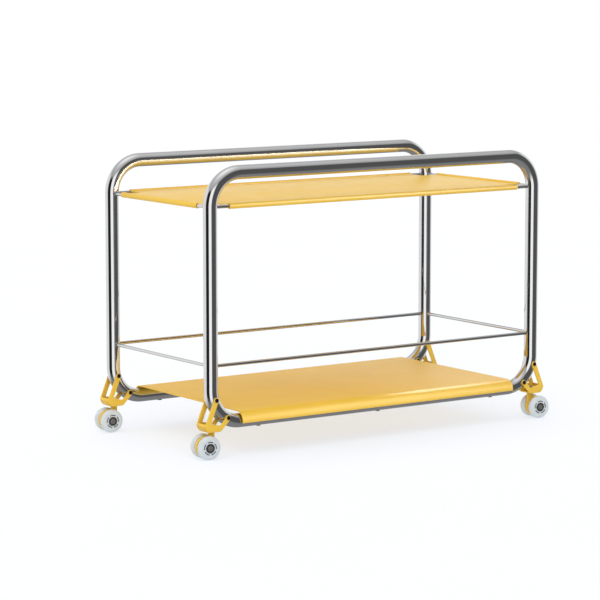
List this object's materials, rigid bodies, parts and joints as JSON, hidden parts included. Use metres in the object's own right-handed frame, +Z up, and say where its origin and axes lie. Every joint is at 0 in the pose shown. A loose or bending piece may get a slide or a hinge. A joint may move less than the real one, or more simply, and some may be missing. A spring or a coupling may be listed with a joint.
{
  "type": "serving trolley",
  "caption": "Serving trolley: bent chrome tube loops carry yellow sheet shelves, thin guard rails and twin-wheel swivel casters on folded yellow brackets.",
  "frame": {"origin": "on the floor, midway between the four casters", "axes": "+X along the length to the right, +Y to the back, +Z up"},
  "size_m": [0.9936, 0.4742, 0.6435],
  "materials": {
    "chrome_tube": "bright chrome plate on bent steel tube",
    "chrome_rod": "bright chrome plate on steel rod",
    "yellow_sheet": "satin yellow powder coat on steel sheet",
    "yellow_bracket": "satin yellow powder coat on folded steel",
    "white_urethane": "cast white urethane, satin",
    "bearing_steel": "ground steel rings with dark grey seals",
    "black_steel": "black oxide steel",
    "zinc_steel": "zinc plated steel",
    "grey_plastic": "moulded grey plastic"
  },
  "bodies": {
    "frame": {"front_loop": "chrome_tube", "back_loop": "chrome_tube", "shelf_rod_front": "chrome_rod", "shelf_rod_back": "chrome_rod", "shelf_rod_left": "chrome_rod", "shelf_rod_right": "chrome_rod", "guard_rail_front": "chrome_rod", "guard_rail_back": "chrome_rod", "guard_rail_left": "chrome_rod", "guard_rail_right": "chrome_rod", "rod_inserts": "zinc_steel", "upper_shelf": "yellow_sheet", "lower_shelf": "yellow_sheet", "lower_shelf_spacers": "grey_plastic", "lower_shelf_studs": "zinc_steel", "lower_shelf_stud_nuts": "zinc_steel", "access_plugs": "grey_plastic", "bracket_bolts": "black_steel", "bracket_sleeve_nuts": "black_steel", "swivel_bushings": "grey_plastic", "caster_bracket_front_left": "yellow_bracket", "caster_bracket_front_right": "yellow_bracket", "caster_bracket_back_left": "yellow_bracket", "caster_bracket_back_right": "yellow_bracket"},
    "swivel_front_left": {"caster_tongue_front_left": "yellow_bracket", "swivel_stem_front_left": "zinc_steel", "stem_nut_front_left": "zinc_steel", "axle_front_left": "black_steel", "axle_spacers_front_left": "zinc_steel"},
    "wheel_front_left_a_body": {"wheel_front_left_a": "white_urethane", "bearings_front_left_a": "bearing_steel"},
    "wheel_front_left_b_body": {"wheel_front_left_b": "white_urethane", "bearings_front_left_b": "bearing_steel"},
    "swivel_front_right": {"caster_tongue_front_right": "yellow_bracket", "swivel_stem_front_right": "zinc_steel", "stem_nut_front_right": "zinc_steel", "axle_front_right": "black_steel", "axle_spacers_front_right": "zinc_steel"},
    "wheel_front_right_a_body": {"wheel_front_right_a": "white_urethane", "bearings_front_right_a": "bearing_steel"},
    "wheel_front_right_b_body": {"wheel_front_right_b": "white_urethane", "bearings_front_right_b": "bearing_steel"},
    "swivel_back_left": {"caster_tongue_back_left": "yellow_bracket", "swivel_stem_back_left": "zinc_steel", "stem_nut_back_left": "zinc_steel", "axle_back_left": "black_steel", "axle_spacers_back_left": "zinc_steel"},
    "wheel_back_left_a_body": {"wheel_back_left_a": "white_urethane", "bearings_back_left_a": "bearing_steel"},
    "wheel_back_left_b_body": {"wheel_back_left_b": "white_urethane", "bearings_back_left_b": "bearing_steel"},
    "swivel_back_right": {"caster_tongue_back_right": "yellow_bracket", "swivel_stem_back_right": "zinc_steel", "stem_nut_back_right": "zinc_steel", "axle_back_right": "black_steel", "axle_spacers_back_right": "zinc_steel"},
    "wheel_back_right_a_body": {"wheel_back_right_a": "white_urethane", "bearings_back_right_a": "bearing_steel"},
    "wheel_back_right_b_body": {"wheel_back_right_b": "white_urethane", "bearings_back_right_b": "bearing_steel"}
  },
  "joints": [
    {"name": "swivel_front_left_turn", "type": "hinge", "parent": "frame", "child": "swivel_front_left", "pos_m": [-0.454, -0.2065, 0.06], "axis": [0, 0, 1], "continuous": true},
    {"name": "wheel_front_left_a_roll", "type": "hinge", "parent": "swivel_front_left", "child": "wheel_front_left_a_body", "pos_m": [-0.46747, -0.20461, 0.027], "axis": [0.1392, 0.9903, 0], "continuous": true},
    {"name": "wheel_front_left_b_roll", "type": "hinge", "parent": "swivel_front_left", "child": "wheel_front_left_b_body", "pos_m": [-0.46747, -0.20461, 0.027], "axis": [0.1392, 0.9903, 0], "continuous": true},
    {"name": "swivel_front_right_turn", "type": "hinge", "parent": "frame", "child": "swivel_front_right", "pos_m": [0.454, -0.2065, 0.06], "axis": [0, 0, 1], "continuous": true},
    {"name": "wheel_front_right_a_roll", "type": "hinge", "parent": "swivel_front_right", "child": "wheel_front_right_a_body", "pos_m": [0.46747, -0.20839, 0.027], "axis": [0.1392, 0.9903, 0], "continuous": true},
    {"name": "wheel_front_right_b_roll", "type": "hinge", "parent": "swivel_front_right", "child": "wheel_front_right_b_body", "pos_m": [0.46747, -0.20839, 0.027], "axis": [0.1392, 0.9903, 0], "continuous": true},
    {"name": "swivel_back_left_turn", "type": "hinge", "parent": "frame", "child": "swivel_back_left", "pos_m": [-0.454, 0.2065, 0.06], "axis": [0, 0, 1], "continuous": true},
    {"name": "wheel_back_left_a_roll", "type": "hinge", "parent": "swivel_back_left", "child": "wheel_back_left_a_body", "pos_m": [-0.46747, 0.20839, 0.027], "axis": [0.1392, 0.9903, 0], "continuous": true},
    {"name": "wheel_back_left_b_roll", "type": "hinge", "parent": "swivel_back_left", "child": "wheel_back_left_b_body", "pos_m": [-0.46747, 0.20839, 0.027], "axis": [0.1392, 0.9903, 0], "continuous": true},
    {"name": "swivel_back_right_turn", "type": "hinge", "parent": "frame", "child": "swivel_back_right", "pos_m": [0.454, 0.2065, 0.06], "axis": [0, 0, 1], "continuous": true},
    {"name": "wheel_back_right_a_roll", "type": "hinge", "parent": "swivel_back_right", "child": "wheel_back_right_a_body", "pos_m": [0.46747, 0.20461, 0.027], "axis": [0.1392, 0.9903, 0], "continuous": true},
    {"name": "wheel_back_right_b_roll", "type": "hinge", "parent": "swivel_back_right", "child": "wheel_back_right_b_body", "pos_m": [0.46747, 0.20461, 0.027], "axis": [0.1392, 0.9903, 0], "continuous": true}
  ]
}
